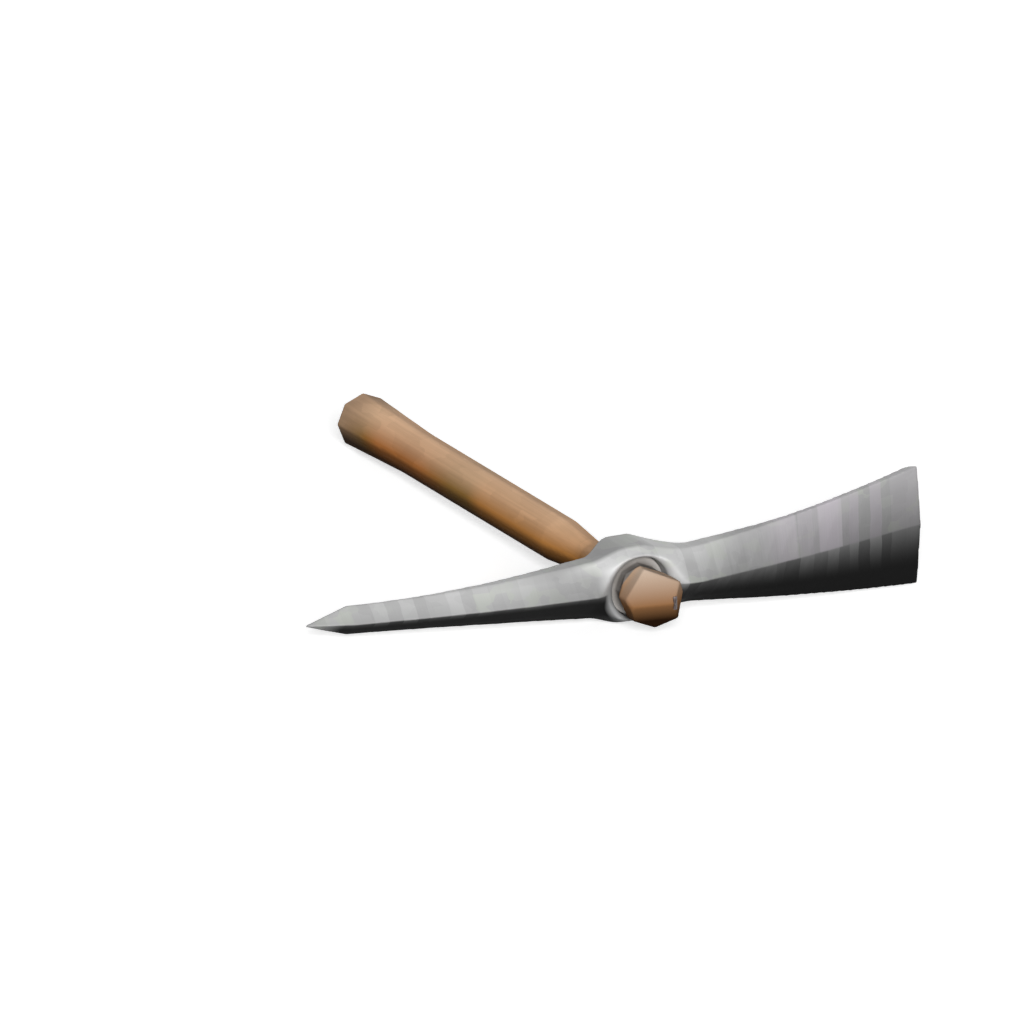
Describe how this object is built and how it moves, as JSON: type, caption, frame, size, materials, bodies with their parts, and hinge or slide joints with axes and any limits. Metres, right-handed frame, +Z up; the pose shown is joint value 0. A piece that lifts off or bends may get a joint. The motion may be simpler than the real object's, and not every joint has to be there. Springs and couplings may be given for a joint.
{
  "type": "pick mattock",
  "caption": "Short-handled pick mattock: forged steel head with a pick and a flared adze blade, on an octagonal wooden handle that slides into a tapered eye and jams there.",
  "frame": {"origin": "middle of the part's box, on the surface under the lowest corner of the blade", "axes": "+X along the head from the pick to the blade, +Y along the handle from the head to the grip, +Z up, across the width of the blade"},
  "size_m": [0.502, 0.4696, 0.089],
  "materials": {
    "forged_steel": "forged steel, ground grey across the arms above their ridge and left black with forge scale below it, matt",
    "ash_wood": "oiled hardwood, worn smooth, bleached on top, grimy below and greyer at the butt",
    "wedge_steel": "dark mild steel, dressed off with a file"
  },
  "bodies": {
    "head": {"head": "forged_steel"},
    "handle": {"handle": "ash_wood", "steel_wedge": "wedge_steel"}
  },
  "joints": [
    {"name": "handle_slide", "type": "slide", "parent": "head", "child": "handle", "axis": [0, -1, 0], "range_m": [0, 0.45]}
  ]
}
